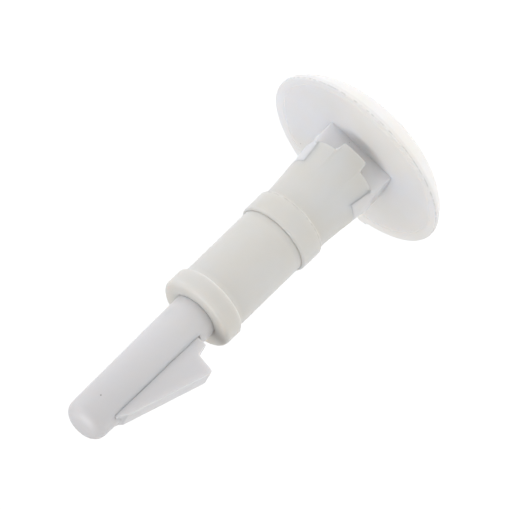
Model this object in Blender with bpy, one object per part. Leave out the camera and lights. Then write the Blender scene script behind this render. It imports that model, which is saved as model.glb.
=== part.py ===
"""Nylon wall anchor: a mushroom-headed pin, a spacer sleeve that slides on it, and a springy lock tongue.

The anchor stands on the back of its head. The origin is the middle of that flat back, +Z runs along the
pin to its tip, and the tongue points to +X. Lengths are in metres, written as a number of millimetres.
"""

import math

import bmesh
import bpy

MM = 0.001
SEGMENTS = 56

# Head: a domed disc whose face towards the tip is a shallow dish inside a narrow flat rim.
HEAD_RADIUS = 9.5 * MM
HEAD_BACK_FLAT_RADIUS = 5.1 * MM
DOME_HEIGHT = 2.44 * MM
DOME_EDGE_SLOPE = math.radians(58)
RIM_BAND = 0.46 * MM
RIM_LAND_WIDTH = 0.95 * MM
RIM_LIP = 0.06 * MM
DISH_DEPTH = 0.12 * MM
HEAD_FACE_Z = DOME_HEIGHT + RIM_BAND

# Pin: a flat blade joins the head to a round, slightly tapered shank with a rounded tip.
BLADE_WIDTH = 7.4 * MM
BLADE_THICKNESS = 4.6 * MM
BLADE_TOP_Z = HEAD_FACE_Z + 4.3 * MM
SHANK_START_Z = HEAD_FACE_Z + 2.7 * MM
SHANK_RADIUS = 2.23 * MM
TIP_RADIUS = 2.09 * MM
TIP_ROUNDING = 0.9 * MM
TIP_Z = HEAD_FACE_Z + 36.95 * MM

# Sleeve: a tube with a flared head end, a middle collar and an end collar.
BORE_RADIUS = SHANK_RADIUS + 0.13 * MM
BARREL_RADIUS = 3.41 * MM
FLARE_RADIUS = 4.0 * MM
NECK_RADIUS = 3.42 * MM
MID_COLLAR_RADIUS = 3.68 * MM
END_COLLAR_RADIUS = 3.78 * MM
SLEEVE_HEAD_END_Z = HEAD_FACE_Z + 2.15 * MM
FLARE_LENGTH = 5.8 * MM
FLARE_POWER = 1.2
MID_COLLAR_Z = HEAD_FACE_Z + 8.75 * MM
MID_COLLAR_LENGTH = 2.5 * MM
END_COLLAR_Z = HEAD_FACE_Z + 19.6 * MM
END_COLLAR_LENGTH = 2.0 * MM
EDGE = 0.3 * MM
TAB_WIDTH = 2.4 * MM
TAB_LENGTH = 1.0 * MM
KEY_SLOT_WIDTH = BLADE_THICKNESS + 0.6 * MM
KEY_SLOT_TOP_Z = BLADE_TOP_Z + 0.3 * MM

# Tongue: a wedge on a thin root near the tip, with a catch and a finger at its free end.
HINGE_X = 1.95 * MM
HINGE_Z = HEAD_FACE_Z + 33.15 * MM
TONGUE_ROOT_RADIUS = 0.5 * MM
TONGUE_WIDTH = 2.4 * MM
CATCH_X = 4.8 * MM
CATCH_Z = HEAD_FACE_Z + 24.85 * MM
CATCH_ROUNDING = 0.28 * MM
NOTCH_X = 2.94 * MM
NOTCH_Z = CATCH_Z - 0.2 * MM
FINGER_END_Z = HEAD_FACE_Z + 23.5 * MM
FINGER_OUTER_X = 2.77 * MM
FINGER_INNER_X = HINGE_X - TONGUE_ROOT_RADIUS
FINGER_ROUNDING = 0.18 * MM
GAP = 0.3 * MM
SLOT_WIDTH = TONGUE_WIDTH + 2 * GAP
SLOT_START_Z = FINGER_END_Z - 0.45 * MM
SLOT_END_Z = HINGE_Z + TONGUE_ROOT_RADIUS + GAP
SLOT_FLOOR_DEEP_X = -1.7 * MM
SLOT_FLOOR_ROOT_X = 0.9 * MM
SLOT_FLOOR_ROOT_Z = HINGE_Z - 0.4 * MM
OUTSIDE = 12 * MM


def clear_scene():
    for obj in list(bpy.data.objects):
        bpy.data.objects.remove(obj, do_unlink=True)


def nylon(name, colour, roughness):
    """A plain plastic: colour is linear RGB."""
    material = bpy.data.materials.new(name)
    material.use_nodes = True
    shader = material.node_tree.nodes["Principled BSDF"]
    shader.inputs["Base Color"].default_value = (*colour, 1.0)
    shader.inputs["Roughness"].default_value = roughness
    shader.inputs["Metallic"].default_value = 0.0
    return material


def arc(centre, radius, start, end, steps):
    """Points on an arc from angle start to angle end, both included, in radians."""
    angles = [start + (end - start) * k / steps for k in range(steps + 1)]
    return [(centre[0] + radius * math.cos(a), centre[1] + radius * math.sin(a)) for a in angles]


def add_object(name, mesh_editor, origin=(0.0, 0.0, 0.0), material=None):
    """Makes an object from a bmesh in world coordinates, with its origin at the point given."""
    bmesh.ops.remove_doubles(mesh_editor, verts=mesh_editor.verts, dist=1e-7)
    bmesh.ops.recalc_face_normals(mesh_editor, faces=mesh_editor.faces)
    bmesh.ops.translate(mesh_editor, verts=mesh_editor.verts, vec=[-value for value in origin])
    mesh = bpy.data.meshes.new(name)
    mesh_editor.to_mesh(mesh)
    mesh_editor.free()
    mesh.shade_smooth()
    mesh.set_sharp_from_angle(angle=math.radians(30))
    obj = bpy.data.objects.new(name, mesh)
    obj.location = origin
    if material:
        mesh.materials.append(material)
    bpy.context.scene.collection.objects.link(obj)
    return obj


def turned(outline):
    """Spins a closed outline of (radius, z) points about Z. Two points on the axis make its poles."""
    mesh_editor = bmesh.new()
    points = [mesh_editor.verts.new((r, 0.0, z)) for r, z in outline]
    closed = outline[0][0] > 0.0
    pairs = list(zip(points, points[1:])) + ([(points[-1], points[0])] if closed else [])
    edges = [mesh_editor.edges.new(pair) for pair in pairs]
    bmesh.ops.spin(
        mesh_editor,
        geom=points + edges,
        cent=(0.0, 0.0, 0.0),
        axis=(0.0, 0.0, 1.0),
        angle=2 * math.pi,
        steps=SEGMENTS,
        use_merge=True,
        use_duplicate=False,
    )
    return mesh_editor


def plate(outline, width):
    """Extrudes a closed outline of (x, z) points across Y, centred on the XZ plane."""
    mesh_editor = bmesh.new()
    face = mesh_editor.faces.new([mesh_editor.verts.new((x, -width / 2, z)) for x, z in outline])
    grown = bmesh.ops.extrude_face_region(mesh_editor, geom=[face])
    moved = [item for item in grown["geom"] if isinstance(item, bmesh.types.BMVert)]
    bmesh.ops.translate(mesh_editor, verts=moved, vec=(0.0, width, 0.0))
    return mesh_editor


def block(low, high):
    """A box between two corners."""
    outline = [(low[0], low[2]), (high[0], low[2]), (high[0], high[2]), (low[0], high[2])]
    mesh_editor = plate(outline, high[1] - low[1])
    bmesh.ops.translate(mesh_editor, verts=mesh_editor.verts, vec=(0.0, (low[1] + high[1]) / 2, 0.0))
    return mesh_editor


def combine(obj, helper, operation):
    """Adds or cuts a helper shape, which stays in the scene as a hidden guide."""
    helper.hide_render = True
    helper.display_type = "WIRE"
    modifier = obj.modifiers.new(helper.name, "BOOLEAN")
    modifier.operation = operation
    modifier.solver = "EXACT"
    modifier.object = helper


def head_outline():
    dome_radius = (HEAD_RADIUS - HEAD_BACK_FLAT_RADIUS) / math.sin(DOME_EDGE_SLOPE)
    dome_scale = DOME_HEIGHT / (dome_radius * (1 - math.cos(DOME_EDGE_SLOPE)))
    outline = [(0.0, 0.0)]
    for step in range(9):
        slope = DOME_EDGE_SLOPE * step / 8
        radius = HEAD_BACK_FLAT_RADIUS + dome_radius * math.sin(slope)
        outline.append((radius, dome_scale * dome_radius * (1 - math.cos(slope))))
    dish_radius = HEAD_RADIUS - RIM_LAND_WIDTH
    outline.append((HEAD_RADIUS, HEAD_FACE_Z))
    outline.append((dish_radius, HEAD_FACE_Z))
    for step in range(7):
        radius = (dish_radius - RIM_LIP) * (1 - step / 6)
        fall = (DISH_DEPTH - RIM_LIP) * (1 - (radius / dish_radius) ** 2)
        outline.append((radius, HEAD_FACE_Z - RIM_LIP - fall))
    return outline


def shank_outline():
    corner = (TIP_RADIUS - TIP_ROUNDING, TIP_Z - TIP_ROUNDING)
    return [
        (0.0, SHANK_START_Z),
        (SHANK_RADIUS - EDGE, SHANK_START_Z),
        (SHANK_RADIUS, SHANK_START_Z + EDGE),
        (SHANK_RADIUS, SLOT_START_Z),
        *arc(corner, TIP_ROUNDING, 0.0, math.pi / 2, 6),
        (0.0, TIP_Z),
    ]


def slot_outline():
    return [
        (SLOT_FLOOR_DEEP_X, SLOT_START_Z),
        (OUTSIDE, SLOT_START_Z),
        (OUTSIDE, SLOT_END_Z),
        (SLOT_FLOOR_ROOT_X, SLOT_END_Z),
        (SLOT_FLOOR_ROOT_X, SLOT_FLOOR_ROOT_Z),
    ]


def make_head_pin(material):
    pin = add_object("head_pin", turned(head_outline()), material=material)
    half_width, half_thickness = BLADE_WIDTH / 2, BLADE_THICKNESS / 2
    low = (-half_width, -half_thickness, HEAD_FACE_Z - DISH_DEPTH - 0.6 * MM)
    blade = add_object("blade_shape", block(low, (half_width, half_thickness, BLADE_TOP_Z)))
    combine(pin, blade, "UNION")
    combine(pin, add_object("shank_shape", turned(shank_outline())), "UNION")
    combine(pin, add_object("tongue_slot", plate(slot_outline(), SLOT_WIDTH)), "DIFFERENCE")
    return pin


def collar(radius, start, length, before, after):
    """Outline points of a collar with bevelled edges between two tube radii."""
    return [
        (before, start),
        (radius - EDGE, start),
        (radius, start + EDGE),
        (radius, start + length - EDGE),
        (radius - EDGE, start + length),
        (after, start + length),
    ]


def flare_outline(steps=6):
    """The neck swells towards the head end, slowly at first."""
    outline = []
    for step in range(steps + 1):
        share = 1 - step / steps
        radius = NECK_RADIUS + (FLARE_RADIUS - NECK_RADIUS) * share**FLARE_POWER
        outline.append((radius, SLEEVE_HEAD_END_Z + FLARE_LENGTH * (1 - share)))
    return outline


def sleeve_outline():
    tab_end = SLEEVE_HEAD_END_Z - TAB_LENGTH
    end = END_COLLAR_Z + END_COLLAR_LENGTH
    return [
        (BORE_RADIUS, tab_end),
        (FLARE_RADIUS - EDGE, tab_end),
        (FLARE_RADIUS - EDGE / 2, tab_end + EDGE / 2),
        *flare_outline(),
        *collar(MID_COLLAR_RADIUS, MID_COLLAR_Z, MID_COLLAR_LENGTH, NECK_RADIUS, BARREL_RADIUS),
        (BARREL_RADIUS, END_COLLAR_Z),
        (END_COLLAR_RADIUS - EDGE, END_COLLAR_Z),
        (END_COLLAR_RADIUS, END_COLLAR_Z + EDGE),
        (END_COLLAR_RADIUS, end - EDGE),
        (END_COLLAR_RADIUS - EDGE, end),
        (BORE_RADIUS, end),
    ]


def make_sleeve(material):
    sleeve = add_object("spacer_sleeve", turned(sleeve_outline()), material=material)
    below = SLEEVE_HEAD_END_Z - 2 * TAB_LENGTH
    for side, label in ((1, "right"), (-1, "left")):
        near, far = sorted((side * TAB_WIDTH / 2, side * OUTSIDE))
        relief = block((near, -OUTSIDE, below), (far, OUTSIDE, SLEEVE_HEAD_END_Z))
        combine(sleeve, add_object(f"tab_relief_{label}", relief), "DIFFERENCE")
    half = KEY_SLOT_WIDTH / 2
    key_slot = block((-OUTSIDE, -half, below), (OUTSIDE, half, KEY_SLOT_TOP_Z))
    combine(sleeve, add_object("key_slot", key_slot), "DIFFERENCE")
    return sleeve


def tongue_outline():
    """The side of the tongue: root, outer face, rounded catch, notch, finger and inner face."""
    root = (HINGE_X, HINGE_Z)
    rise = math.atan2(CATCH_X - HINGE_X - TONGUE_ROOT_RADIUS, HINGE_Z - CATCH_Z)
    catch = (CATCH_X - CATCH_ROUNDING, CATCH_Z + CATCH_ROUNDING)
    finger = (FINGER_OUTER_X - FINGER_ROUNDING, FINGER_END_Z + FINGER_ROUNDING)
    return [
        *arc(root, TONGUE_ROOT_RADIUS, math.pi, rise, 8),
        *arc(catch, CATCH_ROUNDING, rise, -math.pi / 2, 5),
        (NOTCH_X, NOTCH_Z),
        *arc(finger, FINGER_ROUNDING, 0.0, -math.pi / 2, 4),
        (FINGER_INNER_X, FINGER_END_Z),
    ]


def make_tongue(material):
    hinge = (HINGE_X, 0.0, HINGE_Z)
    return add_object("lock_tongue", plate(tongue_outline(), TONGUE_WIDTH), hinge, material)


def main():
    clear_scene()
    make_head_pin(nylon("natural_nylon_pin", (0.78, 0.77, 0.75), 0.38))
    make_sleeve(nylon("natural_nylon_sleeve", (0.72, 0.70, 0.66), 0.42))
    make_tongue(nylon("natural_nylon_tongue", (0.76, 0.75, 0.72), 0.38))


main()
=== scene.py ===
# %% [markdown]
# # A nylon wall anchor
# The anchor is two mouldings in natural (undyed) nylon 66. A mushroom-headed pin carries a springy tongue
# near its tip, and a collared sleeve slides on the pin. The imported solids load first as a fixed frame, so
# every finer piece made below goes exactly where its solid is.

# %% Load the frame
import math

import bmesh
import bpy
from mathutils import Matrix, Vector


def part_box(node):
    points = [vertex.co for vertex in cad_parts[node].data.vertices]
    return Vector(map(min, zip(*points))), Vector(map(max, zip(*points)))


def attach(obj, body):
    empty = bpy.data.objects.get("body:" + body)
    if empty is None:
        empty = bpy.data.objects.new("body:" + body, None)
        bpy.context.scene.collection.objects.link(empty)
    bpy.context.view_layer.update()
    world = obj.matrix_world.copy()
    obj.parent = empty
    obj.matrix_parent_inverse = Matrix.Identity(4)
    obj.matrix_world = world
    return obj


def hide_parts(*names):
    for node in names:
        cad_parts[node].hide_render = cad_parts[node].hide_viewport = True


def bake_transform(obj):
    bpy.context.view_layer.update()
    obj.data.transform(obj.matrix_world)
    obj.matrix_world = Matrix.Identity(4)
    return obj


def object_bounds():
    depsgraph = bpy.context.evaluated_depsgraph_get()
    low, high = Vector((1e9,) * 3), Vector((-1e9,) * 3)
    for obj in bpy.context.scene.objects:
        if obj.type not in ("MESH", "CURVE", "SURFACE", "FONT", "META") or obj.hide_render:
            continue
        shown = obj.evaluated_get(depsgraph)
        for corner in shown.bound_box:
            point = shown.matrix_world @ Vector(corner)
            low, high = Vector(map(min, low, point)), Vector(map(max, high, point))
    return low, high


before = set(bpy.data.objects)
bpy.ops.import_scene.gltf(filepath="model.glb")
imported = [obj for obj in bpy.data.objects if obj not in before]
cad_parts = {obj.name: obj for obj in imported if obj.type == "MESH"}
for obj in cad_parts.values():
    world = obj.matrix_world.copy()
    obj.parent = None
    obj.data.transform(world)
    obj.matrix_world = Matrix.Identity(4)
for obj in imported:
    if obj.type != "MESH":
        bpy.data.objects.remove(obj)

MM = 0.001
cad_low, cad_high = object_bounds()
print("frame:", [round(side / MM, 2) for side in cad_high - cad_low], "mm")

# %% [markdown]
# ## Sizes
# The outer sizes are read from the solids' boxes, so nothing can drift away from them.
# What a box can't say, such as a rim's height or a collar's place along the tube, is named here once.

# %% Sizes read from the frame
_, pin_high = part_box("head_pin")
sleeve_low, sleeve_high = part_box("spacer_sleeve")
tongue_low, tongue_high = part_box("lock_tongue")
HEAD_RADIUS = pin_high.x
TIP_Z = pin_high.z
SLEEVE_END_Z = sleeve_high.z
FLARE_RADIUS = sleeve_high.y
CATCH_X = tongue_high.x
FINGER_END_Z = tongue_low.z
TONGUE_HALF = tongue_high.y
print("head radius, tip height:", round(HEAD_RADIUS / MM, 2), round(TIP_Z / MM, 2), "mm")

# %% Sizes inside the pieces
FACE_Z = 2.90 * MM
HEAD_FLAT_RADIUS = 5.1 * MM
DOME_HEIGHT = 2.44 * MM
DOME_SLOPE = math.radians(58)
LAND_WIDTH = 0.95 * MM
LAND_FALL = 0.08 * MM
DISH_DEPTH = 0.12 * MM
BLADE_HALF_WIDTH = 3.7 * MM
BLADE_HALF_THICKNESS = 2.3 * MM
KEY_SLOT_HALF, KEY_SLOT_TOP_Z = 2.315 * MM, 7.52 * MM
BLADE_TOP_Z = 7.2 * MM
SHANK_START_Z = 5.6 * MM
SHANK_RADIUS = 2.23 * MM
TIP_RADIUS = 2.09 * MM
TIP_ROUNDING = 1.5 * MM
TIP_SQUARENESS = 2.7
MOUTH_RADIUS = 2.236 * MM
BORE_RADIUS = 2.36 * MM
NECK_RADIUS = 3.42 * MM
BARREL_RADIUS = 3.41 * MM
SLEEVE_START_Z = 5.05 * MM
FLARE_LENGTH, FLARE_POWER = 5.8 * MM, 1.2
TAB_HALF_WIDTH = 1.2 * MM
MID_COLLAR = {"z": 11.65 * MM, "length": 2.5 * MM, "radius": 3.68 * MM}
END_COLLAR = {"z": 22.5 * MM, "radius": 3.78 * MM}
COLLAR_START_ROUND, COLLAR_END_ROUND = 0.18 * MM, 0.28 * MM
HINGE_X, HINGE_Z = 1.95 * MM, 36.05 * MM
TONGUE_ROOT_RADIUS = 0.5 * MM
CATCH_Z = 27.75 * MM
SLOT_START_Z, SLOT_END_Z = 26.2 * MM, 36.7 * MM
SLOT_HALF_WIDTH = 1.4 * MM
print("sleeve:", round(SLEEVE_START_Z / MM, 2), "to", round(SLEEVE_END_Z / MM, 2), "mm up the pin")

# %% [markdown]
# ## Small helpers
# A profile is a list of points in one plane. Mouldings have no knife edges, so one helper draws the arcs
# that round them. A second adds a node with its settings and links, which every tree below uses.


# %% Points on an arc, and one way to add a node
def arc(centre, radius, start, end, steps):
    """Points on an arc between two angles in degrees, both included."""
    angles = [math.radians(start + (end - start) * k / steps) for k in range(steps + 1)]
    return [(centre[0] + radius * math.cos(a), centre[1] + radius * math.sin(a)) for a in angles]


def line(start, end, steps):
    """Points between two points, leaving out both ends."""
    return [tuple(a + (b - a) * k / steps for a, b in zip(start, end)) for k in range(1, steps)]


def add_node(tree, kind, inputs=None, **settings):
    """Adds a node. Inputs maps a socket's name or number to a value or to an output that feeds it."""
    node = tree.nodes.new(kind)
    for name, value in settings.items():
        setattr(node, name, value)
    for name, value in (inputs or {}).items():
        if isinstance(value, bpy.types.NodeSocket):
            tree.links.new(value, node.inputs[name])
        else:
            node.inputs[name].default_value = value
    return node


def link_object(name, data):
    obj = bpy.data.objects.new(name, data)
    bpy.context.scene.collection.objects.link(obj)
    return obj


print("quarter arc in 6 steps:", len(arc((0.0, 0.0), 1.0, 0, 90, 6)), "points")

# %% [markdown]
# ## The rule of a turned moulding
# The head and the sleeve are both turned shapes: a profile swept round an axis. A lathe (Screw) modifier
# could do that, but the sleeve's head end isn't plain: two tabs reach out of it and it swells into a
# flare, and a parting line runs down each side. A Geometry Nodes tree can hold the whole rule. It lays out
# a grid of turns by profile points, reads each point from the profile, shifts it by the rule, then wraps
# the grid. The arithmetic is written as rows of (result, operation, first value, second value).

# %% Inputs of the tree
turned_tree = bpy.data.node_groups.new("turned_moulding", "GeometryNodeTree")
TURNED_INPUTS = (
    ("Segments", "NodeSocketInt"),
    ("End Height", "NodeSocketFloat"),
    ("Bore Radius", "NodeSocketFloat"),
    ("Neck Radius", "NodeSocketFloat"),
    ("Tab Half Width", "NodeSocketFloat"),
    ("Tab Length", "NodeSocketFloat"),
    ("Corner Softness", "NodeSocketFloat"),
    ("Fade Length", "NodeSocketFloat"),
    ("Flare Gain", "NodeSocketFloat"),
    ("Flare Length", "NodeSocketFloat"),
    ("Flare Power", "NodeSocketFloat"),
    ("Parting Line Height", "NodeSocketFloat"),
    ("Parting Line Width", "NodeSocketFloat"),
    ("Finish", "NodeSocketMaterial"),
)
turned_tree.interface.new_socket("Geometry", in_out="OUTPUT", socket_type="NodeSocketGeometry")
turned_tree.interface.new_socket("Profile", in_out="INPUT", socket_type="NodeSocketGeometry")
turned_ids = {
    name: turned_tree.interface.new_socket(name, in_out="INPUT", socket_type=kind).identifier
    for name, kind in TURNED_INPUTS
}
print("turned_moulding inputs:", len(turned_ids))

# %% The grid and the profile that it reads
sizes = add_node(turned_tree, "NodeGroupInput").outputs
profile_size = add_node(
    turned_tree, "GeometryNodeAttributeDomainSize", {"Geometry": sizes["Profile"]}, component="CURVE"
)
point_count = profile_size.outputs["Point Count"]
columns = add_node(turned_tree, "ShaderNodeMath", {0: sizes["Segments"], 1: 1.0}, operation="ADD")
grid = add_node(
    turned_tree,
    "GeometryNodeMeshGrid",
    {"Size X": 1.0, "Size Y": 1.0, "Vertices X": columns.outputs[0], "Vertices Y": point_count},
)
place = add_node(turned_tree, "GeometryNodeInputPosition").outputs[0]
grid_place = add_node(turned_tree, "ShaderNodeSeparateXYZ", {0: place}).outputs
last = add_node(turned_tree, "ShaderNodeMath", {0: point_count, 1: 1.0}, operation="SUBTRACT").outputs[0]
row = add_node(
    turned_tree,
    "ShaderNodeMapRange",
    {"Value": grid_place[1], "From Min": -0.5, "From Max": 0.5, "To Min": 0.0, "To Max": last},
)
row = add_node(turned_tree, "FunctionNodeFloatToInt", {0: row.outputs[0]}, rounding_mode="ROUND")
profile_point = add_node(
    turned_tree,
    "GeometryNodeSampleIndex",
    {"Geometry": sizes["Profile"], "Index": row.outputs[0]},
    data_type="FLOAT_VECTOR",
    domain="POINT",
)
turned_tree.links.new(place, profile_point.inputs["Value"])
profile_place = add_node(turned_tree, "ShaderNodeSeparateXYZ", {0: profile_point.outputs[0]}).outputs
print("grid nodes:", len(turned_tree.nodes))

# %% The rule, as rows of arithmetic
known = {name: sizes[name] for name, _ in TURNED_INPUTS}
known |= {"grid x": grid_place[0], "radius": profile_place[0], "height": profile_place[2]}
RULE = (
    ("turn share", "ADD", "grid x", 0.5),
    ("turn", "MULTIPLY", "turn share", 2 * math.pi),
    ("cosine", "COSINE", "turn"),
    ("sine", "SINE", "turn"),
    ("across", "MULTIPLY", "radius", "cosine"),
    ("across", "ABSOLUTE", "across"),
    ("towards", "MULTIPLY", "radius", "sine"),
    ("towards", "ABSOLUTE", "towards"),
    # The tabs: 1 inside their width and 0 outside, with a soft corner.
    ("past tab", "SUBTRACT", "across", "Tab Half Width"),
    ("past tab", "DIVIDE", "past tab", "Corner Softness"),
    ("tab", "MULTIPLY_ADD clamp", "past tab", -0.5, 0.5),
    ("above end", "SUBTRACT", "height", "End Height"),
    ("faded", "DIVIDE", "above end", "Fade Length"),
    ("fade", "SUBTRACT clamp", 1.0, "faded"),
    ("tab", "MULTIPLY", "tab", "fade"),
    ("reach", "MULTIPLY", "tab", "Tab Length"),
    ("height", "SUBTRACT", "height", "reach"),
    # The flare and the parting line, on the outer skin only.
    ("wall", "SUBTRACT", "Neck Radius", "Bore Radius"),
    ("depth", "SUBTRACT", "radius", "Bore Radius"),
    ("outer", "DIVIDE clamp", "depth", "wall"),
    ("up the flare", "DIVIDE", "above end", "Flare Length"),
    ("flare", "SUBTRACT clamp", 1.0, "up the flare"),
    ("flare", "POWER", "flare", "Flare Power"),
    ("flare", "MULTIPLY", "flare", "Flare Gain"),
    ("off the line", "DIVIDE", "towards", "Parting Line Width"),
    ("ridge", "SUBTRACT clamp", 1.0, "off the line"),
    ("ridge", "MULTIPLY", "ridge", "Parting Line Height"),
    ("proud", "ADD", "flare", "ridge"),
    ("proud", "MULTIPLY", "proud", "outer"),
    ("radius", "ADD", "radius", "proud"),
    ("x", "MULTIPLY", "radius", "cosine"),
    ("y", "MULTIPLY", "radius", "sine"),
)
for result, rule, *terms in RULE:
    feeds = {k: known.get(term, term) for k, term in enumerate(terms)}
    operation, _, clamp = rule.partition(" ")
    node = add_node(turned_tree, "ShaderNodeMath", feeds, operation=operation, use_clamp=bool(clamp))
    known[result] = node.outputs[0]
print("rule rows:", len(RULE))

# %% Wrap the grid, close its seam and give it its finish
wrapped = add_node(turned_tree, "ShaderNodeCombineXYZ", {0: known["x"], 1: known["y"], 2: known["height"]})
skin = add_node(
    turned_tree, "GeometryNodeSetPosition", {"Geometry": grid.outputs["Mesh"], "Position": wrapped.outputs[0]}
)
skin = add_node(turned_tree, "GeometryNodeMergeByDistance", {"Geometry": skin.outputs[0], "Distance": 1e-6})
skin = add_node(turned_tree, "GeometryNodeRealizeInstances", {"Geometry": skin.outputs[0]})
skin = add_node(
    turned_tree, "GeometryNodeSetMaterial", {"Geometry": skin.outputs[0], "Material": sizes["Finish"]}
)
add_node(turned_tree, "NodeGroupOutput", {0: skin.outputs[0]})
print("turned_moulding nodes:", len(turned_tree.nodes))


# %% Tidy a mesh, and take the result of a tree
def tidy_mesh(mesh, finish, crease=35.0):
    """Merges doubles, turns the faces outwards, gives one finish and shades smooth up to a crease angle."""
    mesh.materials.clear()
    mesh.materials.append(finish)
    mesh.polygons.foreach_set("material_index", [0] * len(mesh.polygons))
    editor = bmesh.new()
    editor.from_mesh(mesh)
    bmesh.ops.remove_doubles(editor, verts=editor.verts, dist=1e-7)
    bmesh.ops.dissolve_degenerate(editor, edges=editor.edges, dist=1e-8)
    bmesh.ops.recalc_face_normals(editor, faces=editor.faces)
    editor.to_mesh(mesh)
    editor.free()
    mesh.shade_smooth()
    mesh.set_sharp_from_angle(angle=math.radians(crease))


def grow(name, data, tree, values):
    """Runs a tree on data, with inputs given by socket identifier, and returns a plain mesh object."""
    maker = link_object(name + "_maker", data)
    modifier = maker.modifiers.new("rule", "NODES")
    modifier.node_group = tree
    for identifier, value in values.items():
        modifier[identifier] = value
    graph = bpy.context.evaluated_depsgraph_get()
    mesh = bpy.data.meshes.new_from_object(maker.evaluated_get(graph))
    bpy.data.objects.remove(maker)
    mesh.name = name
    print(name, "faces:", len(mesh.polygons))
    return link_object(name, mesh)


def turned(name, profile, values):
    """Turns a closed profile of (radius, height) points."""
    curve = bpy.data.curves.new(name + "_profile", "CURVE")
    curve.dimensions = "3D"
    spline = curve.splines.new("POLY")
    spline.points.add(len(profile) - 1)
    for point, (r, z) in zip(spline.points, profile):
        point.co = (r, 0.0, z, 1.0)
    obj = grow(name, curve, turned_tree, {turned_ids[key]: value for key, value in values.items()})
    tidy_mesh(obj.data, values["Finish"])
    return obj


print("helpers ready")

# %% [markdown]
# ## Natural nylon 66
# Undyed nylon is milky: light enters, scatters for most of a millimetre and comes out again, so shadows are
# soft and thin edges glow. That is subsurface scattering, with its radius given in real millimetres. The
# skin is a satin copy of a spark-eroded mould, the index of refraction is 1.53, and the tone wanders a
# little between cool and warm. Painted shade darkens the crevices, one sharp edge and the tone towards the
# tip, and a few carbon specks come with the resin.


# %% Colours, and where each one shows
# Carbon specks in their own colour, and a painted shade colour for a line along one sharp edge.
SPECK_COLOUR, EDGE_SHADE_COLOUR = "#5B564E", "#A09C97"


def linear(hex_colour):
    """An sRGB hex colour as linear RGBA."""
    values = [int(hex_colour[k : k + 2], 16) / 255 for k in (1, 3, 5)]
    return (*[v / 12.92 if v <= 0.04045 else ((v + 0.055) / 1.055) ** 2.4 for v in values], 1.0)


def tone_and_shade_shares(tree, place):
    """How much of the warm tone, the painted shade towards the tip, the painted shade in crevices and the
    specks shows at each point.
    """
    clouds = {"Vector": place, "Scale": 1 / (7 * MM), "Detail": 3.0, "Roughness": 0.5}
    clouds = add_node(tree, "ShaderNodeTexNoise", clouds).outputs[0]
    along = add_node(tree, "ShaderNodeSeparateXYZ", {0: place}).outputs[2]
    # Painted shade: ambient occlusion darkens the tone in crevices and corners.
    hollow_shade = add_node(tree, "ShaderNodeAmbientOcclusion", {"Distance": 0.3 * MM}, samples=8).outputs["AO"]
    # Carbon specks 0.1 mm across, about one in each 2.4 mm cube of resin.
    speck = {"Vector": place, "Scale": 1 / (2.4 * MM)}
    speck = add_node(tree, "ShaderNodeTexVoronoi", speck).outputs["Distance"]
    shares = []
    for value, start, end, share_at_start, share_at_end in (
        (clouds, 0.35, 0.65, 0.0, 1.0),
        # Painted shade: the tone darkens from the head up towards the tip.
        (along, 4.0 * MM, 40.0 * MM, 0.0, 1.0),
        # Painted shade in crevices and corners, from the ambient occlusion.
        (hollow_shade, 0.15, 0.6, 0.14, 0.0),
        (speck, 0.02, 0.035, 0.7, 0.0),
    ):
        span = {"Value": value, "From Min": start, "From Max": end}
        span |= {"To Min": share_at_start, "To Max": share_at_end}
        shares.append(add_node(tree, "ShaderNodeMapRange", span).outputs[0])
    return shares


print("mid grey in linear light:", round(linear("#808080")[0], 3))


# %% Painted shade along one edge, and the satin skin
def edge_shade_share(tree, unmoved, place, edge):
    """A broken dark line of painted shade along one sharp edge, given by its radius and height."""
    flat = add_node(tree, "ShaderNodeVectorMath", {0: unmoved, 1: (1.0, 1.0, 0.0)}, operation="MULTIPLY")
    flat = add_node(tree, "ShaderNodeVectorMath", {0: flat.outputs[0]}, operation="LENGTH").outputs["Value"]
    up = add_node(tree, "ShaderNodeSeparateXYZ", {0: unmoved}).outputs[2]
    near = add_node(tree, "ShaderNodeCombineXYZ", {0: flat, 1: up}).outputs[0]
    near = add_node(tree, "ShaderNodeVectorMath", {0: near, 1: (*edge, 0.0)}, operation="DISTANCE")
    near = {"Value": near.outputs["Value"], "From Min": 0.03 * MM, "From Max": 0.11 * MM}
    near = add_node(tree, "ShaderNodeMapRange", {**near, "To Min": 1.0, "To Max": 0.0}).outputs[0]
    broken = {"Vector": place, "Scale": 1 / (0.5 * MM), "Detail": 2.0}
    broken = add_node(tree, "ShaderNodeTexNoise", broken).outputs[0]
    broken = {"Value": broken, "From Min": 0.4, "From Max": 0.6, "To Min": 0.05, "To Max": 0.35}
    broken = add_node(tree, "ShaderNodeMapRange", broken).outputs[0]
    return add_node(tree, "ShaderNodeMath", {0: near, 1: broken}, operation="MULTIPLY").outputs[0]


def satin_skin(tree, place, roughness):
    """Fine grain over slow sink waves, as the surface's roughness and normal."""
    grain = {"Vector": place, "Scale": 1 / (0.28 * MM), "Detail": 2.0, "Roughness": 0.6}
    grain = add_node(tree, "ShaderNodeTexNoise", grain).outputs[0]
    sink = {"Vector": place, "Scale": 1 / (2.6 * MM), "Detail": 1.0}
    sink = add_node(tree, "ShaderNodeTexNoise", sink).outputs[0]
    skin = {"Strength": 1.0, "Distance": 0.05 * MM, "Height": sink}
    skin = add_node(tree, "ShaderNodeBump", skin).outputs[0]
    skin = {"Strength": 0.6, "Distance": 0.006 * MM, "Height": grain, "Normal": skin}
    skin = add_node(tree, "ShaderNodeBump", skin).outputs[0]
    satin = {"Value": grain, "From Min": 0.3, "From Max": 0.7, "To Min": roughness - 0.05}
    satin = add_node(tree, "ShaderNodeMapRange", {**satin, "To Max": roughness + 0.08}).outputs[0]
    return {"Roughness": satin, "Normal": skin}


print("painted edge shade and skin ready")


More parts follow.
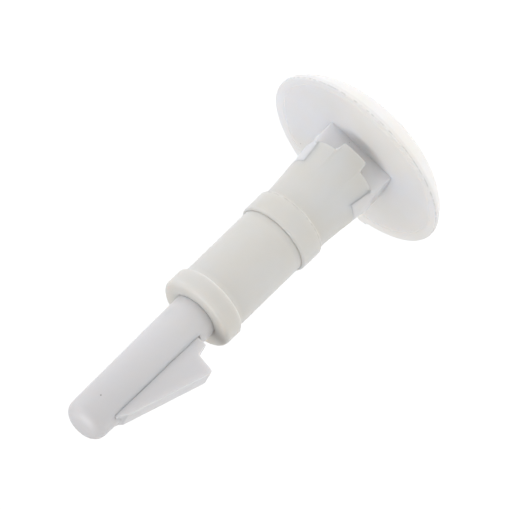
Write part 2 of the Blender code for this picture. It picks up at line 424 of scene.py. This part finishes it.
# %% The two finishes
def natural_nylon(name, cool, warm, tip_shade, crevice_shade, roughness, seed, shaded_edge):
    """Satin, milky nylon. Its tone runs from cool to warm, with painted shade that darkens it towards the
    tip, in crevices and along one edge.
    """
    material = bpy.data.materials.new(name)
    material.use_nodes = True
    tree = material.node_tree
    tree.nodes.clear()
    unmoved = add_node(tree, "ShaderNodeTexCoord").outputs["Object"]
    shift = {"Vector": unmoved, "Location": (seed * MM, 0.0, 0.0)}
    place = add_node(tree, "ShaderNodeMapping", shift).outputs[0]
    shares = [*tone_and_shade_shares(tree, place), edge_shade_share(tree, unmoved, place, shaded_edge)]
    colour = linear(cool)
    # The warm tone and the specks are the resin's own; the tip, crevice and edge colours are painted shade.
    for share, other in zip(shares, (warm, tip_shade, crevice_shade, SPECK_COLOUR, EDGE_SHADE_COLOUR)):
        mix = {0: share, 6: colour, 7: linear(other)}
        colour = add_node(tree, "ShaderNodeMix", mix, data_type="RGBA").outputs[2]
    body = {"Base Color": colour, "IOR": 1.53, **satin_skin(tree, place, roughness)}
    milk = {"Subsurface Weight": 1.0, "Subsurface Radius": (1.0, 0.92, 0.85), "Subsurface Scale": 0.7 * MM}
    shader = add_node(tree, "ShaderNodeBsdfPrincipled", {**body, **milk})
    add_node(tree, "ShaderNodeOutputMaterial", {"Surface": shader.outputs[0]})
    return material


# The third and fourth colours are painted shade towards the tip and in crevices; the last entry places
# painted shade along the rim's top edge.
pin_nylon = natural_nylon(
    "natural_nylon_66_satin_pin", "#F4F4F7", "#F4F1EC", "#DDDBDB", "#C8C3BA", 0.36, 0,
    (HEAD_RADIUS, FACE_Z - 0.05 * MM),
)
# The third and fourth colours are painted shade towards the tip and in crevices; the last entry places
# painted shade along the middle collar's edge.
sleeve_nylon = natural_nylon(
    "natural_nylon_66_satin_sleeve", "#E9E9E7", "#E8E4DA", "#E2DFD9", "#BDB6AA", 0.4, 40,
    (MID_COLLAR["radius"], MID_COLLAR["z"] + 0.15 * MM),
)
print("finishes:", pin_nylon.name, sleeve_nylon.name)

# %% [markdown]
# ## The head
# The head is a mushroom: a flat middle that the anchor stands on, a dome that rises to a narrow rim band,
# a land that falls a little inwards, and a shallow dish inside it. Only the profile is drawn here.


# %% Profile of the head
def head_profile():
    """Half of the head's section: flat, dome, rim band, land and dish."""
    dome_steps, dish_steps, band_step, rim = 24, 14, 0.03 * MM, 0.1 * MM
    dome_radius = (HEAD_RADIUS - HEAD_FLAT_RADIUS) / math.sin(DOME_SLOPE)
    dome_scale = DOME_HEIGHT / (dome_radius * (1 - math.cos(DOME_SLOPE)))
    points = [(radius * MM, 0.0) for radius in (0.0, 1.0, 2.0, 3.0, 4.2)]
    for step in range(dome_steps + 1):
        slope = DOME_SLOPE * step / dome_steps
        rise = dome_scale * dome_radius * (1 - math.cos(slope))
        out = HEAD_FLAT_RADIUS + dome_radius * math.sin(slope)
        points.append((out - band_step * step / dome_steps, rise))
    points += [(HEAD_RADIUS, DOME_HEIGHT + rise * MM) for rise in (0.06, 0.2)]
    points += arc((HEAD_RADIUS - rim, FACE_Z - rim), rim, 0, 90, 5)
    land, low = HEAD_RADIUS - LAND_WIDTH, FACE_Z - LAND_FALL
    points += line(points[-1], (land + 0.12 * MM, low), 5)
    points += [(land + 0.12 * MM, low), (land + 0.07 * MM, low + 0.01 * MM)]
    points += arc((land, low), 0.045 * MM, 60, 180, 5)
    dish_radius, dish_fall = land - 0.08 * MM, DISH_DEPTH - LAND_FALL
    for step in range(dish_steps + 1):
        share = 1 - step / dish_steps
        points.append((dish_radius * share, low - dish_fall * (1 - share**2)))
    return points


PLAIN_TURN = {
    "End Height": 0.0,
    "Bore Radius": 0.0,
    "Neck Radius": 1.0,
    "Tab Half Width": 0.0,
    "Tab Length": 0.0,
    "Corner Softness": 0.01 * MM,
    "Fade Length": 1.0,
    "Flare Gain": 0.0,
    "Flare Length": 1.0,
    "Flare Power": 1.0,
    "Parting Line Height": 0.0,
    "Parting Line Width": 0.1 * MM,
}
head = turned("head_shape", head_profile(), {"Segments": 256, "Finish": pin_nylon, **PLAIN_TURN})

# %% [markdown]
# ## The blade and the slotted shank
# A thick blade joins the head to the shank, with ends that lie flush with the sleeve's skin. Both are
# lofts: a stack of closed sections, each the same number of points, bridged with quads. The shank's
# section is a circle that opens into the tongue's slot between two heights, so its cheeks and floor
# come with rounded edges and need no cutting.


# %% Bridge a stack of sections
def loft(name, sections):
    """Bridges closed sections of equal point counts and closes both ends."""
    editor = bmesh.new()
    rings = [[editor.verts.new(point) for point in section] for section in sections]
    count = len(rings[0])
    for low, high in zip(rings, rings[1:]):
        for k in range(count):
            n = (k + 1) % count
            editor.faces.new((low[k], low[n], high[n], high[k]))
    for ring in (rings[0], rings[-1]):
        centre = editor.verts.new(sum((v.co for v in ring), Vector()) / count)
        for k in range(count):
            editor.faces.new((ring[k], ring[(k + 1) % count], centre))
    mesh = bpy.data.meshes.new(name)
    editor.to_mesh(mesh)
    editor.free()
    tidy_mesh(mesh, pin_nylon)
    print(name, "faces:", len(mesh.polygons))
    return link_object(name, mesh)


print("loft ready")

# %% The blade, with a fillet at the head
NO_LIMIT = 10.0 * MM
FLUSH_GAP = 0.02 * MM


def flare_radius(z):
    """Radius of the sleeve's flared skin at height z."""
    share = min(max(1 - (z - SLEEVE_START_Z) / FLARE_LENGTH, 0.0), 1.0)
    return NECK_RADIUS + (FLARE_RADIUS - NECK_RADIUS) * share**FLARE_POWER


def blade_section(z, half_x, half_y, corner, limit=NO_LIMIT):
    """A rounded oblong at height z, whose ends stay within a radius."""
    side = []
    for k in range(-12, 13):
        y = half_y * math.sin(math.radians(7.5 * k))
        over = max(abs(y) - (half_y - corner), 0.0) / corner
        x = half_x - corner * (1 - math.sqrt(max(1 - over * over, 0.0)))
        side.append((min(x, math.sqrt(limit**2 - y * y)), y))
    return [(x, y, z) for x, y in side] + [(-x, -y, z) for x, y in side]


def blade_sections():
    """A foot in the head, a small fillet, square sides up to the sleeve, then ends flush with its skin."""
    fillet, foot, corner = 0.14 * MM, FACE_Z - 0.2 * MM, 0.22 * MM
    half_x, half_y = BLADE_HALF_WIDTH, BLADE_HALF_THICKNESS
    sections = [blade_section(1.6 * MM, half_x + fillet, half_y + fillet, corner + fillet)]
    for k in range(9):
        grow_by = fillet * (1 - math.sin(math.radians(90 * k / 8)))
        z = foot + fillet * (1 - math.cos(math.radians(90 * k / 8)))
        sections.append(blade_section(z, half_x + grow_by, half_y + grow_by, corner + grow_by))
    rise, beyond = 0.3 * MM, 0.3 * MM
    for k in range(8):
        z = SLEEVE_START_Z - 0.05 * MM + rise * k
        limit = flare_radius(z) - FLUSH_GAP if k else NO_LIMIT
        sections.append(blade_section(z, half_x + (beyond if k else 0.0), half_y, corner, limit))
    top, chamfer = BLADE_TOP_Z + 0.2 * MM, 0.1 * MM
    limit = flare_radius(top) - FLUSH_GAP
    sections.append(blade_section(top, half_x, half_y, corner, limit))
    sections.append(blade_section(top + chamfer, half_x, half_y - chamfer, corner, limit - chamfer))
    return sections


blade = loft("blade_shape", blade_sections())

# %% The shank's section at one height
CHEEK_ANGLE = math.asin(SLOT_HALF_WIDTH / SHANK_RADIUS)
CHEEK_ROUND = 0.05 * MM
ROUND_STEPS = 128
# Each pair is a share of the slot's half width and a share of its depth there.
WALL = [(0.996, 0.08), (0.992, 0.25), (0.988, 0.5), (0.984, 0.75), (0.975, 0.9), (0.95, 0.97), (0.9, 1.0)]
FLOOR = [(0.6, 1.0), (0.3, 1.0), (0.0, 1.0)]


def shank_section(z, r, slot_share, floor_x):
    """A circle of radius r whose +X side sinks to the slot's floor by slot_share."""
    start = CHEEK_ANGLE + CHEEK_ROUND / SHANK_RADIUS
    outline = []
    for k in range(ROUND_STEPS + 1):
        a = start + (2 * math.pi - 2 * start) * k / ROUND_STEPS
        outline.append((r * math.cos(a), r * math.sin(a)))
    edge_y = r * math.sin(CHEEK_ANGLE)
    half = WALL + FLOOR
    across = [(-s, d) for s, d in half] + [(s, d) for s, d in reversed(half[:-1])]
    for s, depth in across:
        y = edge_y * s
        surface = math.sqrt(r * r - y * y)
        outline.append((surface - depth * slot_share * (surface - min(floor_x, surface)), y))
    return [(x, y, z) for x, y in outline]


print("points in a shank section:", len(shank_section(0.0, SHANK_RADIUS, 0.0, 0.0)))


# %% The shank's stations and floor
def smooth(value):
    """An S-shaped ramp from 0 to 1."""
    value = min(max(value, 0.0), 1.0)
    return value * value * (3 - 2 * value)


def slot_share(z):
    """How far the slot is open at height z, with quick rounded ends."""
    return smooth((z - SLOT_START_Z) / (0.08 * MM)) * smooth((SLOT_END_Z - z) / (0.22 * MM))


def slot_floor(z):
    """The slot's floor slopes up towards the tongue's root."""
    deep, shallow, shallow_z = -1.7 * MM, 0.9 * MM, 35.65 * MM
    share = (z - SLOT_START_Z) / (shallow_z - SLOT_START_Z)
    return deep + (shallow - deep) * min(max(share, 0.0), 1.0)


def shank_radius(z):
    """A cylinder up to the slot, then a slight taper, then the rounded tip."""
    share = (z - SLOT_START_Z) / (TIP_Z - TIP_ROUNDING - SLOT_START_Z)
    body = SHANK_RADIUS - (SHANK_RADIUS - TIP_RADIUS) * min(max(share, 0.0), 1.0)
    over = max(z - (TIP_Z - TIP_ROUNDING), 0.0) / TIP_ROUNDING
    return body * max(1 - over**TIP_SQUARENESS, 0.0) ** (1 / TIP_SQUARENESS) + 1e-6


# Each row is a first height, a spacing and a count: close together where the slot opens and closes.
STATION_ROWS = (
    (SHANK_START_Z, 0.6 * MM, 34),
    (SLOT_START_Z, 0.02 * MM, 14),
    (26.5 * MM, 0.5 * MM, 20),
    (SLOT_END_Z - 0.24 * MM, 0.02 * MM, 14),
    (36.9 * MM, 0.3 * MM, 7),
)
stations = [first + spacing * k for first, spacing, count in STATION_ROWS for k in range(count)]
stations += [TIP_Z - TIP_ROUNDING * (1 - math.sin(math.radians(90 * k / 24)) ** 0.7) for k in range(25)]
stations = sorted(set(round(z, 7) for z in stations))
print("shank stations:", len(stations))
shank = loft(
    "shank_shape", [shank_section(z, shank_radius(z), slot_share(z), slot_floor(z)) for z in stations]
)

# %% [markdown]
# ## One moulding
# Head, blade and shank left the mould as one piece. The light inside milky plastic would see the buried
# walls of loose shells, so they are united with Booleans. A torn gate nub stays on the rim where the
# runner broke off, and three round marks on the back show where ejector pins pushed the head out.


# %% The gate nub and the ejector marks
def gate_nub():
    """A small torn stub on the rim: a rounded block whose outer end is pulled out of shape."""
    size = Vector((1.0, 0.75, 0.42)) * MM
    angle = math.radians(-69)
    editor = bmesh.new()
    bmesh.ops.create_cube(editor, size=1.0)
    bmesh.ops.subdivide_edges(editor, edges=editor.edges, cuts=5, use_grid_fill=True)
    for vertex in editor.verts:
        vertex.co = vertex.co.normalized() * 0.25 + vertex.co * 0.6
        tear = 0.07 * math.sin(17 * vertex.co.x + 5) * math.cos(23 * vertex.co.z)
        vertex.co.y += tear * (vertex.co.y > 0)
        vertex.co = Vector(a * b for a, b in zip(vertex.co, size))
    turn = Matrix.Rotation(angle - math.pi / 2, 4, "Z")
    centre = Vector((math.cos(angle), math.sin(angle), 0.0)) * (HEAD_RADIUS - 0.05 * MM)
    move = Matrix.Translation(centre + Vector((0.0, 0.0, FACE_Z - 0.27 * MM)))
    bmesh.ops.transform(editor, matrix=move @ turn, verts=editor.verts)
    mesh = bpy.data.meshes.new("gate_nub")
    editor.to_mesh(mesh)
    editor.free()
    tidy_mesh(mesh, pin_nylon)
    return link_object("gate_nub", mesh)


nub = gate_nub()
print("gate_nub faces:", len(nub.data.polygons))


# %% Rule of the ejector marks: one round mark, repeated in a ring
marks_tree = bpy.data.node_groups.new("ring_of_marks", "GeometryNodeTree")
marks_tree.interface.new_socket("Geometry", in_out="OUTPUT", socket_type="NodeSocketGeometry")
marks_tree.interface.new_socket("Geometry", in_out="INPUT", socket_type="NodeSocketGeometry")
marks_ids = {
    name: marks_tree.interface.new_socket(name, in_out="INPUT", socket_type=kind).identifier
    for name, kind in (
        ("Count", "NodeSocketInt"),
        ("Ring Radius", "NodeSocketFloat"),
        ("Mark Radius", "NodeSocketFloat"),
        ("Depth", "NodeSocketFloat"),
        ("Finish", "NodeSocketMaterial"),
    )
}
wanted = add_node(marks_tree, "NodeGroupInput").outputs
ring = {"Vertices": wanted["Count"], "Radius": wanted["Ring Radius"]}
ring = add_node(marks_tree, "GeometryNodeMeshCircle", ring)
mark = {"Vertices": 48, "Radius": wanted["Mark Radius"], "Depth": wanted["Depth"]}
mark = add_node(marks_tree, "GeometryNodeMeshCylinder", mark)
marks = {"Points": ring.outputs[0], "Instance": mark.outputs["Mesh"]}
marks = add_node(marks_tree, "GeometryNodeInstanceOnPoints", marks)
marks = add_node(marks_tree, "GeometryNodeRealizeInstances", {"Geometry": marks.outputs[0]})
marks = {"Geometry": marks.outputs[0], "Material": wanted["Finish"]}
marks = add_node(marks_tree, "GeometryNodeSetMaterial", marks)
add_node(marks_tree, "NodeGroupOutput", {0: marks.outputs[0]})

ring_values = {
    "Count": 3,
    "Ring Radius": 3.3 * MM,
    "Mark Radius": 0.9 * MM,
    "Depth": 0.1 * MM,
    "Finish": pin_nylon,
}
mark_values = {marks_ids[key]: value for key, value in ring_values.items()}
ejector_marks = grow("ejector_marks", bpy.data.meshes.new("nothing"), marks_tree, mark_values)
print("ejector marks:", ring_values["Count"])


# %% Unite the pin
def unite(obj, others, operation, finish):
    """Applies Booleans and leaves a plain mesh."""
    for other in others:
        modifier = obj.modifiers.new(other.name, "BOOLEAN")
        modifier.operation = operation
        modifier.solver = "EXACT"
        modifier.object = other
    graph = bpy.context.evaluated_depsgraph_get()
    mesh = bpy.data.meshes.new_from_object(obj.evaluated_get(graph))
    obj.modifiers.clear()
    obj.data = mesh
    for other in others:
        bpy.data.objects.remove(other)
    tidy_mesh(mesh, finish)
    return obj


pin = unite(head, [blade, shank, nub], "UNION", pin_nylon)
pin = unite(pin, [ejector_marks], "DIFFERENCE", pin_nylon)
pin.name = "headed_pin"
print("headed_pin faces:", len(pin.data.polygons), "materials:", [m.name for m in pin.data.materials])

# %% [markdown]
# ## The sleeve
# The sleeve is the same turned rule with every input in use. Its profile runs up the outside over the two
# collars, round the mouth, and back down the bore. The mouth closes in on the pin, so that the joint reads
# as a fine line, and each collar meets the barrel in a tight corner.


# %% Profile of the sleeve
def collar_profile(z, length, radius_out, before, after):
    """A collar with rounded outer edges and tight inner corners."""
    first, last, tight, step = COLLAR_START_ROUND, COLLAR_END_ROUND, 0.05 * MM, 0.03 * MM
    return [
        (before, z - tight),
        (before + step, z),
        *arc((radius_out - first, z + first), first, -90, 0, 6),
        *line((radius_out, z + first), (radius_out, z + length - last), 4),
        *arc((radius_out - last, z + length - last), last, 0, 90, 6),
        (after + step, z + length),
        (after, z + length + tight),
    ]


def sleeve_profile():
    """Up the outside, round the mouth and back down the bore, as a closed outline."""
    lip, mouth, first, last = 0.12 * MM, 0.04 * MM, COLLAR_START_ROUND, 0.42 * MM
    start, end, split = SLEEVE_START_Z, SLEEVE_END_Z, SLEEVE_START_Z + 5.5 * MM
    neck, barrel, top = NECK_RADIUS, BARREL_RADIUS, END_COLLAR["radius"]
    points = arc((neck - lip, start + lip), lip, -90, 0, 6)
    points += line(points[-1], (neck, MID_COLLAR["z"] - 0.05 * MM), 26)
    points += collar_profile(MID_COLLAR["z"], MID_COLLAR["length"], MID_COLLAR["radius"], neck, barrel)
    points += line(points[-1], (barrel, END_COLLAR["z"] - 0.05 * MM), 14)
    points += [(barrel, END_COLLAR["z"] - 0.05 * MM), (barrel + 0.02 * MM, END_COLLAR["z"])]
    points += arc((top - first, END_COLLAR["z"] + first), first, -90, 0, 6)
    points += line(points[-1], (top, end - COLLAR_END_ROUND), 4)
    points += arc((top - last, end - last), last, 0, 90, 8)
    points += line(points[-1], (MOUTH_RADIUS + mouth, end), 3)
    points += arc((MOUTH_RADIUS + mouth, end - mouth), mouth, 90, 180, 6)
    points += [(MOUTH_RADIUS, end - 0.6 * MM), (BORE_RADIUS, end - 0.9 * MM)]
    points += line(points[-1], (BORE_RADIUS, split), 8)
    points += [(BORE_RADIUS, split)]
    points += line(points[-1], (BORE_RADIUS, start + lip), 20)
    points += arc((BORE_RADIUS + lip, start + lip), lip, 180, 270, 4)
    return [*points, points[0]]


print("points in the sleeve's profile:", len(sleeve_profile()))

# %% Turn the sleeve
sleeve = turned(
    "collared_sleeve",
    sleeve_profile(),
    {
        "Segments": 400,
        "End Height": SLEEVE_START_Z,
        "Bore Radius": BORE_RADIUS,
        "Neck Radius": NECK_RADIUS,
        "Tab Half Width": TAB_HALF_WIDTH,
        "Tab Length": SLEEVE_START_Z - sleeve_low.z,
        "Corner Softness": 0.07 * MM,
        "Fade Length": 5.4 * MM,
        "Flare Gain": FLARE_RADIUS - NECK_RADIUS,
        "Flare Length": FLARE_LENGTH,
        "Flare Power": FLARE_POWER,
        "Parting Line Height": 0.03 * MM,
        "Parting Line Width": 0.16 * MM,
        "Finish": sleeve_nylon,
    },
)

# %% [markdown]
# ## The key slots
# The blade keys the sleeve: two slots through its wall, open at the head end, let the sleeve slide and stop
# it turning. Their far ends stand on the blade at rest. They are cut straight across with one cutter whose
# far corners are rounded, as a steel blade in the mould would be.


# %% Cut the key slots
def key_cutter():
    """A plate across the sleeve with two rounded far corners."""
    corner, reach = 0.08 * MM, 6.0 * MM
    low = SLEEVE_START_Z - 3.0 * MM
    outline = [(-KEY_SLOT_HALF, low), (KEY_SLOT_HALF, low)]
    outline += arc((KEY_SLOT_HALF - corner, KEY_SLOT_TOP_Z - corner), corner, 0, 90, 6)
    outline += arc((corner - KEY_SLOT_HALF, KEY_SLOT_TOP_Z - corner), corner, 90, 180, 6)
    return loft("key_cutter", [[(x, y, z) for y, z in outline] for x in (-reach, reach)])


sleeve = unite(sleeve, [key_cutter()], "DIFFERENCE", sleeve_nylon)
print("collared_sleeve faces:", len(sleeve.data.polygons))

# %% [markdown]
# ## The tongue
# The tongue is part of the pin's moulding and bends at a thin root, so its mesh runs on into the pin
# beyond the slot. Its side is drawn as an outline, extruded, and its long edges are rounded. Level cuts
# near the root add rows of edges where the real tongue bends.


# %% Outline of the tongue
def tongue_outline():
    """Root, outer slope, catch, notch and finger, seen from the side."""
    catch_round, finger_round, corner = 0.28 * MM, 0.18 * MM, 0.12 * MM
    inner_x = HINGE_X - TONGUE_ROOT_RADIUS
    rise = math.degrees(math.atan2(CATCH_X - HINGE_X - TONGUE_ROOT_RADIUS, HINGE_Z - CATCH_Z))
    notch = (2.94 * MM, CATCH_Z - 0.2 * MM)
    top = 37.3 * MM
    outline = [(inner_x, top), (1.85 * MM, top), (1.98 * MM, 36.95 * MM), (2.1 * MM, 36.66 * MM)]
    outline += arc((HINGE_X, HINGE_Z), TONGUE_ROOT_RADIUS, 52, rise, 6)
    catch = (CATCH_X - catch_round, CATCH_Z + catch_round)
    outline += arc(catch, catch_round, rise, -90, 9)
    outline += [(notch[0] + corner, notch[1] + 0.015 * MM), (notch[0] + 0.03 * MM, notch[1] - 0.03 * MM)]
    outline += [(2.79 * MM, notch[1] - corner)]
    outline += arc((2.77 * MM - finger_round, FINGER_END_Z + finger_round), finger_round, 0, -90, 5)
    outline += arc((inner_x + finger_round, FINGER_END_Z + finger_round), finger_round, -90, -180, 5)
    return outline


print("points in the tongue's outline:", len(tongue_outline()))


# %% Make the tongue
def in_fixed_order(editor, name):
    """A mesh with its corners and faces sorted, because a bevel may leave them in any order."""
    corners = sorted(editor.verts, key=lambda v: tuple(v.co))
    number = {vertex: k for k, vertex in enumerate(corners)}
    faces = []
    for face in editor.faces:
        loop = [number[v] for v in face.verts]
        first = loop.index(min(loop))
        faces.append(loop[first:] + loop[:first])
    mesh = bpy.data.meshes.new(name)
    mesh.from_pydata([v.co for v in corners], [], sorted(faces))
    return mesh


def make_tongue():
    """Extrudes the outline, rounds its long edges and cuts it level near the root."""
    half, edge = TONGUE_HALF + 0.18 * MM, 0.06 * MM
    first_cut, cut_spacing = 34.3 * MM, 0.2 * MM
    editor = bmesh.new()
    face = editor.faces.new([editor.verts.new((x, -half, z)) for x, z in tongue_outline()])
    grown = bmesh.ops.extrude_face_region(editor, geom=[face])["geom"]
    moved = [item for item in grown if isinstance(item, bmesh.types.BMVert)]
    bmesh.ops.translate(editor, verts=moved, vec=(0.0, 2 * half, 0.0))
    rims = [e for e in editor.edges if abs(e.verts[0].co.y - e.verts[1].co.y) < edge]
    bmesh.ops.bevel(editor, geom=rims, offset=edge, segments=4, profile=0.5, affect="EDGES")
    for step in range(16):
        level = first_cut + cut_spacing * step
        cut = [*editor.verts, *editor.edges, *editor.faces]
        bmesh.ops.bisect_plane(editor, geom=cut, plane_co=(0, 0, level), plane_no=(0, 0, 1), dist=1e-8)
    bmesh.ops.triangulate(editor, faces=editor.faces)
    mesh = in_fixed_order(editor, "lock_tongue_moulded")
    editor.free()
    tidy_mesh(mesh, pin_nylon, 30.0)
    return link_object("sprung_tongue", mesh)


tongue = make_tongue()
print("sprung_tongue faces:", len(tongue.data.polygons))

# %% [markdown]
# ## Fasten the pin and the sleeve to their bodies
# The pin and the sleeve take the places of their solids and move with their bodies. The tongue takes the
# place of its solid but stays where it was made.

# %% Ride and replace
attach(pin, "head_pin")
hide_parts("head_pin")
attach(sleeve, "spacer_sleeve")
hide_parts("spacer_sleeve")
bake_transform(tongue)
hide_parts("lock_tongue")
for piece in (pin, sleeve, tongue):
    print(piece.name, "triangles:", sum(len(p.vertices) - 2 for p in piece.data.polygons))

# %% [markdown]
# ## Floor and light
# The anchor stands on a light table: a plain pale sheet, lit from below so that the shadow under the dome
# stays faint. A large softbox hangs overhead, a weak one stands in front and a cool one at the side.

# %% The light table
floor_mesh = bpy.data.meshes.new("light_table")
TABLE_HALF = 3.0
corners = [(x * TABLE_HALF, y * TABLE_HALF) for x, y in ((-1, -1), (1, -1), (1, 1), (-1, 1))]
floor_mesh.from_pydata([(x, y, cad_low.z - 0.02 * MM) for x, y in corners], [], [(0, 1, 2, 3)])
floor = link_object("light_table", floor_mesh)
table_finish = bpy.data.materials.new("opal_acrylic_sheet")
table_finish.use_nodes = True
sheet = table_finish.node_tree.nodes["Principled BSDF"]
sheet.inputs["Base Color"].default_value = linear("#8C8C8C")
sheet.inputs["Roughness"].default_value = 0.7
sheet.inputs["Specular IOR Level"].default_value = 0.1
sheet.inputs["Emission Color"].default_value = linear("#FFFFFF")
sheet.inputs["Emission Strength"].default_value = 0.85
floor_mesh.materials.append(table_finish)
print("light table:", 2 * TABLE_HALF, "m square")


# %% The softboxes and the sky
def softbox(name, place, size, power, colour):
    """A square area light aimed at the middle of the anchor."""
    light = bpy.data.lights.new(name, "AREA")
    light.shape, light.size = "SQUARE", size
    light.energy, light.color = power, linear(colour)[:3]
    lamp = link_object(name, light)
    middle = (cad_low + cad_high) / 2
    lamp.matrix_world = Matrix.Translation(middle + Vector(place)) @ (
        (-Vector(place)).to_track_quat("-Z", "Y").to_matrix().to_4x4()
    )
    print(name, "softbox:", size, "m,", power, "W")


softbox("front", (0.0, 0.58, 0.14), 0.5, 0.25, "#FFFFFF")
softbox("cool_side", (-0.5, 0.12, 0.12), 0.35, 0.5, "#EEF2FF")
softbox("overhead", (0.0, 0.0, 0.6), 0.5, 2.2, "#FFFFFF")
world = bpy.data.worlds.new("studio")
world.use_nodes = True
world.node_tree.nodes["Background"].inputs["Color"].default_value = linear("#FBFCFF")
world.node_tree.nodes["Background"].inputs["Strength"].default_value = 0.35
bpy.context.scene.world = world
bpy.context.scene.view_settings.view_transform = "Standard"

# %% [markdown]
# ## Camera
# A long lens keeps the pin's sides parallel. The camera looks down on the anchor at a shallow angle and is
# rolled, so that the pin runs down to the left.

# %% The camera
TILT = math.radians(66.9)
ROLL = math.radians(44.14)
SWING = math.radians(6.0)
DISTANCE = 0.8
VIEW_WIDTH = 45.24 * MM
SHIFT_RIGHT, SHIFT_UP = 2.27 * MM, 2.39 * MM
aim = Vector((0.0, 0.0, (cad_low.z + cad_high.z) / 2))
right = Vector((math.sin(ROLL), math.cos(ROLL) * math.cos(TILT), -math.cos(ROLL) * math.sin(TILT)))
up = Vector((-math.cos(ROLL), math.sin(ROLL) * math.cos(TILT), -math.sin(ROLL) * math.sin(TILT)))
back = Vector((0.0, math.sin(TILT), math.cos(TILT)))
axes = Matrix.Rotation(-SWING, 3, "Z") @ Matrix((right, up, back)).transposed()
camera_data = bpy.data.cameras.new("camera")
camera_data.sensor_width = 36.0
camera_data.lens = camera_data.sensor_width * DISTANCE / VIEW_WIDTH
camera_data.clip_start, camera_data.clip_end = 0.01, 10.0
camera = link_object("camera", camera_data)
camera.matrix_world = (
    Matrix.Translation(aim + axes @ Vector((SHIFT_RIGHT, SHIFT_UP, DISTANCE))) @ axes.to_4x4()
)
bpy.context.scene.camera = camera
print("lens:", round(camera_data.lens), "mm")
